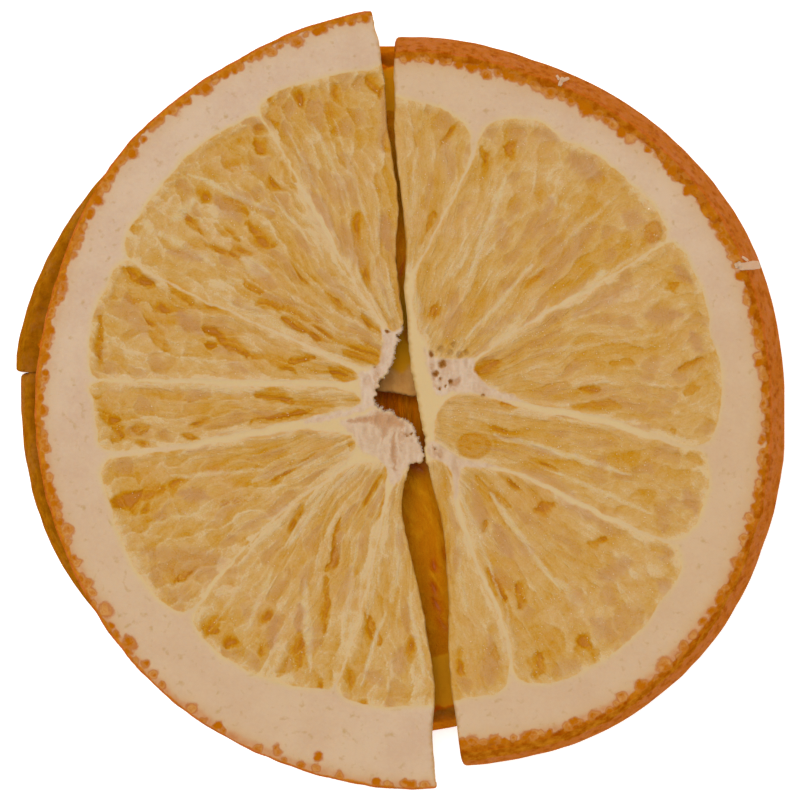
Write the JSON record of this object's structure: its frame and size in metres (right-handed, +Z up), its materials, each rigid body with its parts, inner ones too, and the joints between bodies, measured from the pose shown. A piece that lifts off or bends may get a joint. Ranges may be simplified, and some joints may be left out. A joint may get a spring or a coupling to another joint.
{
  "type": "freeze-dried orange slice",
  "caption": "Freeze-dried orange slice: half-slices laid in two layers as a round, with rind, pith, membranes and flesh dried a little below them.",
  "frame": {"origin": "centre of the round, on the surface that the lower half-slices lie on", "axes": "+Z up through the layers, +X to the right of the upper cut, +Y away along it"},
  "size_m": [0.0732, 0.0741, 0.0103],
  "materials": {
    "upper_half_slice": "dry, matte, slightly waxy fruit flesh with pale pith and orange-brown rind",
    "lower_half_slice": "dry, matte, slightly waxy fruit flesh with pale pith and orange-brown rind"
  },
  "bodies": {
    "root": {"upper_left_half": "upper_half_slice", "upper_right_half": "upper_half_slice", "lower_back_half": "lower_half_slice", "lower_front_half": "lower_half_slice"}
  },
  "joints": []
}
